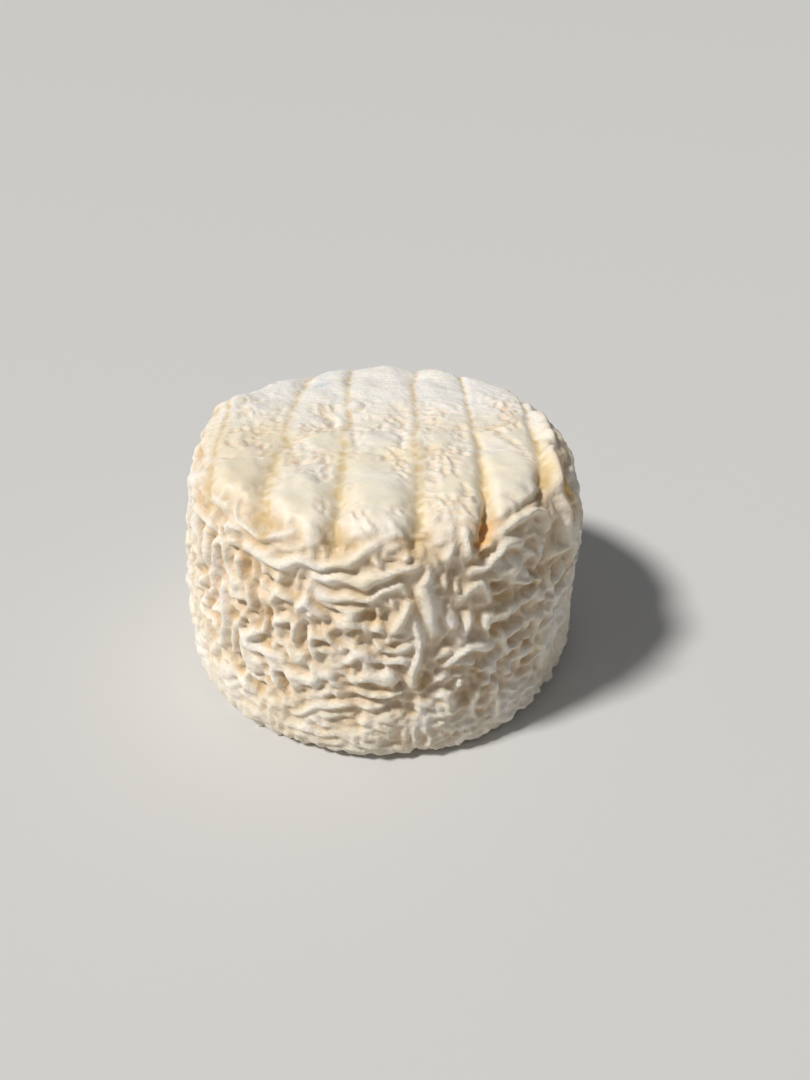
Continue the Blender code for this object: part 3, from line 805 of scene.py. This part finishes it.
def rind_material():
    """Bloom and waxy skin: the mesh's colours, finer mottling, fuzz and a soft glow inside."""
    material = bpy.data.materials.new("rind")
    material.use_nodes = True
    nodes, links = material.node_tree.nodes, material.node_tree.links
    shader = nodes["Principled BSDF"]
    for name, value in RIND_SETTINGS.items():
        shader.inputs[name].default_value = value
    place = nodes.new("ShaderNodeTexCoord").outputs["Object"]

    def noise(scale, detail, roughness=0.5, place=place):
        texture = nodes.new("ShaderNodeTexNoise")
        texture.inputs["Scale"].default_value = scale
        texture.inputs["Detail"].default_value = detail
        texture.inputs["Roughness"].default_value = roughness
        links.new(place, texture.inputs["Vector"])
        return texture.outputs["Fac"]

    def attribute(name, output):
        node = nodes.new("ShaderNodeAttribute")
        node.attribute_name = name
        return node.outputs[output]

    def span(value, low, high, to_low, to_high):
        node = nodes.new("ShaderNodeMapRange")
        node.inputs["From Min"].default_value = low
        node.inputs["From Max"].default_value = high
        node.inputs["To Min"].default_value = to_low
        node.inputs["To Max"].default_value = to_high
        links.new(value, node.inputs["Value"])
        return node.outputs["Result"]

    def mix(share, first, second):
        node = nodes.new("ShaderNodeMix")
        node.data_type = "RGBA"
        links.new(share, node.inputs["Factor"])
        for socket, value in ((node.inputs["A"], first), (node.inputs["B"], second)):
            if isinstance(value, tuple):
                socket.default_value = (*value, 1.0)
            else:
                links.new(value, socket)
        return node.outputs["Result"]

    color = attribute("skin_color", "Color")
    for scale, detail, low, high, most, name in MOTTLES:
        color = mix(span(noise(scale, detail), low, high, 0, most), color, COLORS[name])
    links.new(color, shader.inputs["Base Color"])

    waxy = attribute("waxy", "Fac")
    links.new(span(waxy, 0, 1, DRY_ROUGHNESS, WAXY_ROUGHNESS), shader.inputs["Roughness"])

    stretched = nodes.new("ShaderNodeMapping")
    stretched.inputs["Scale"].default_value = LEVEL_STRETCH
    links.new(place, stretched.inputs["Vector"])
    normal = None
    for scale, detail, roughness, distance, on_dry, on_waxy, is_level in BUMPS:
        where = stretched.outputs["Vector"] if is_level else place
        bump = nodes.new("ShaderNodeBump")
        bump.inputs["Distance"].default_value = distance
        links.new(span(waxy, 0, 1, on_dry, on_waxy), bump.inputs["Strength"])
        links.new(noise(scale, detail, roughness, where), bump.inputs["Height"])
        if normal:
            links.new(normal, bump.inputs["Normal"])
        normal = bump.outputs["Normal"]
    links.new(normal, shader.inputs["Normal"])
    return material


def make_rind():
    """The whole cheese, in fine relief."""
    points, faces, colors, waxy = rind_surface(RING_VERTICES, SIDE_ROWS)
    mesh = bpy.data.meshes.new("cheese_rind")
    mesh.from_pydata(points.tolist(), [], faces)
    skin = mesh.color_attributes.new("skin_color", "FLOAT_COLOR", "POINT")
    skin.data.foreach_set("color", np.hstack([colors, np.ones((len(colors), 1))]).ravel())
    mesh.attributes.new("waxy", "FLOAT", "POINT").data.foreach_set("value", waxy)
    mesh.materials.append(rind_material())
    mesh.shade_smooth()
    rind = bpy.data.objects.new("cheese_rind", mesh)
    bpy.context.scene.collection.objects.link(rind)
    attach(rind, "root")
    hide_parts("goat_cheese")


def make_floor():
    """A plain pale floor that runs to the horizon."""
    mesh = bpy.data.meshes.new("floor")
    half = FLOOR_HALF_SIDE
    corners = [(-half, -half, 0), (half, -half, 0), (half, half, 0), (-half, half, 0)]
    mesh.from_pydata(corners, [], [(0, 1, 2, 3)])
    material = bpy.data.materials.new("floor")
    material.use_nodes = True
    shader = material.node_tree.nodes["Principled BSDF"]
    shader.inputs["Base Color"].default_value = FLOOR_COLOR
    shader.inputs["Roughness"].default_value = FLOOR_ROUGHNESS
    mesh.materials.append(material)
    floor = bpy.data.objects.new("floor", mesh)
    bpy.context.scene.collection.objects.link(floor)


def make_lights():
    """Soft light from the front left, pale light all round and a backdrop that sheds no light."""
    data = bpy.data.lights.new("window", "SUN")
    data.energy = WINDOW_STRENGTH
    data.angle = WINDOW_SPREAD
    data.color = WINDOW_COLOR
    window = bpy.data.objects.new("window", data)
    window.rotation_euler = WINDOW_TURN
    bpy.context.scene.collection.objects.link(window)
    world = bpy.data.worlds.new("studio")
    world.use_nodes = True
    nodes, links = world.node_tree.nodes, world.node_tree.links
    light = nodes["Background"]
    light.inputs["Color"].default_value = ROOM_COLOR
    light.inputs["Strength"].default_value = ROOM_STRENGTH
    backdrop = nodes.new("ShaderNodeBackground")
    backdrop.inputs["Color"].default_value = BACKDROP_COLOR
    seen = nodes.new("ShaderNodeLightPath").outputs["Is Camera Ray"]
    mix = nodes.new("ShaderNodeMixShader")
    links.new(seen, mix.inputs["Fac"])
    links.new(light.outputs["Background"], mix.inputs[1])
    links.new(backdrop.outputs["Background"], mix.inputs[2])
    links.new(mix.outputs["Shader"], nodes["World Output"].inputs["Surface"])
    bpy.context.scene.world = world


def make_camera():
    data = bpy.data.cameras.new("camera")
    data.lens = CAMERA_LENS
    data.clip_start = CAMERA_NEAR
    camera = bpy.data.objects.new("camera", data)
    camera.location = CAMERA_PLACE
    camera.rotation_euler = (CAMERA_TILT, 0, 0)
    bpy.context.scene.collection.objects.link(camera)
    bpy.context.scene.camera = camera


make_rind()
make_floor()
make_lights()
make_camera()
bpy.context.scene.view_settings.view_transform = "Standard"
